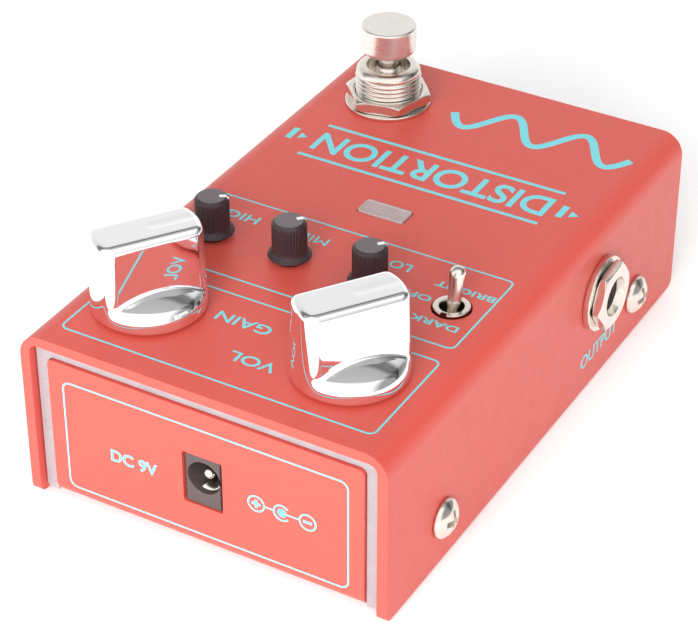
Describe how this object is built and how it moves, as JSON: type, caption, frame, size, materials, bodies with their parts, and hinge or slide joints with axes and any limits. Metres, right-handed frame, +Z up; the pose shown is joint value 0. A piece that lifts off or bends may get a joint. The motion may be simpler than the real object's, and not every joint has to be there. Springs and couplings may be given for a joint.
{
  "type": "guitar effects pedal",
  "caption": "Compact guitar effects pedal with a folded steel case, bar knobs, small fluted knobs, a toggle, a foot switch, side jacks and end light strips.",
  "frame": {"origin": "middle of the underside of the rubber pad, which is the lowest face", "axes": "+X towards the player's right, +Y along the case towards the end with the power inlet, +Z up out of the top face"},
  "size_m": [0.0734, 0.109, 0.0487],
  "materials": {
    "red_paint": "satin red enamel with a fine metallic grain",
    "chrome": "mirror chrome plate",
    "nickel": "bright nickel plate",
    "steel": "zinc-plated steel",
    "knob_black": "moulded black plastic with fine flutes",
    "black_plastic": "moulded black plastic",
    "light_strip": "frosted translucent plastic",
    "lens": "frosted translucent plastic",
    "rubber": "fine-textured non-slip rubber",
    "circuit_board": "green solder mask",
    "capacitor_sleeve": "heat-shrink sleeve",
    "print_ink": "screen-printed turquoise ink",
    "indicator_white": "white inlaid line"
  },
  "bodies": {
    "case": {"top_cover": "red_paint", "base_tray": "red_paint", "rubber_pad": "rubber", "light_strip_rear": "light_strip", "light_strip_front": "light_strip", "light_board_rear": "circuit_board", "light_board_front": "circuit_board", "cover_screw_1": "nickel", "cover_screw_2": "nickel", "cover_screw_3": "nickel", "cover_screw_4": "nickel", "main_board": "circuit_board", "jack_board": "circuit_board", "board_header": "black_plastic", "bypass_relay": "black_plastic", "capacitor_1": "capacitor_sleeve", "capacitor_2": "capacitor_sleeve", "capacitor_3": "capacitor_sleeve", "op_amp_1": "black_plastic", "op_amp_2": "black_plastic", "gain_pot_body": "steel", "gain_pot_nut": "nickel", "vol_pot_body": "steel", "vol_pot_nut": "nickel", "high_pot_body": "black_plastic", "mid_pot_body": "black_plastic", "low_pot_body": "black_plastic", "toggle_body": "black_plastic", "toggle_bushing": "nickel", "led_lens": "lens", "status_led": "lens", "footswitch_body": "black_plastic", "footswitch_bushing": "nickel", "footswitch_lock_nut": "nickel", "footswitch_washer": "nickel", "footswitch_nut": "nickel", "footswitch_spring": "steel", "output_jack_body": "black_plastic", "output_jack_bushing": "nickel", "output_jack_washer": "nickel", "output_jack_nut": "nickel", "input_jack_body": "black_plastic", "input_jack_bushing": "nickel", "input_jack_washer": "nickel", "input_jack_nut": "nickel", "dc_jack_body": "black_plastic", "dc_jack_pin": "nickel"},
    "gain_control": {"gain_pot_shaft": "steel", "gain_knob": "chrome"},
    "vol_control": {"vol_pot_shaft": "steel", "vol_knob": "chrome"},
    "high_control": {"high_pot_shaft": "steel", "high_knob": "knob_black"},
    "mid_control": {"mid_pot_shaft": "steel", "mid_knob": "knob_black"},
    "low_control": {"low_pot_shaft": "steel", "low_knob": "knob_black"},
    "toggle_arm": {"toggle_lever": "nickel"},
    "footswitch_plunger": {"footswitch_stem": "nickel", "footswitch_cap": "nickel"}
  },
  "joints": [
    {"name": "gain_turn", "type": "hinge", "parent": "case", "child": "gain_control", "pos_m": [0.0196, 0.038, 0.0329], "axis": [0, 0, -1], "range_deg": [-5, 295]},
    {"name": "vol_turn", "type": "hinge", "parent": "case", "child": "vol_control", "pos_m": [-0.0176, 0.038, 0.0329], "axis": [0, 0, -1], "range_deg": [-5, 295]},
    {"name": "high_turn", "type": "hinge", "parent": "case", "child": "high_control", "pos_m": [0.0221, 0.0151, 0.0329], "axis": [0, 0, -1], "range_deg": [-29, 271]},
    {"name": "mid_turn", "type": "hinge", "parent": "case", "child": "mid_control", "pos_m": [0.00705, 0.0151, 0.0329], "axis": [0, 0, -1], "range_deg": [-12, 288]},
    {"name": "low_turn", "type": "hinge", "parent": "case", "child": "low_control", "pos_m": [-0.00815, 0.0151, 0.0329], "axis": [0, 0, -1], "range_deg": [-12, 288]},
    {"name": "toggle_tilt", "type": "hinge", "parent": "case", "child": "toggle_arm", "pos_m": [-0.0229, 0.0145, 0.0299], "axis": [-1, 0, 0], "range_deg": [0, 24]},
    {"name": "footswitch_press", "type": "slide", "parent": "case", "child": "footswitch_plunger", "axis": [0, 0, -1], "range_m": [0, 0.0022], "stiffness_N_per_m": 1200, "springref_m": -0.002, "deforming": ["footswitch_spring"]}
  ]
}
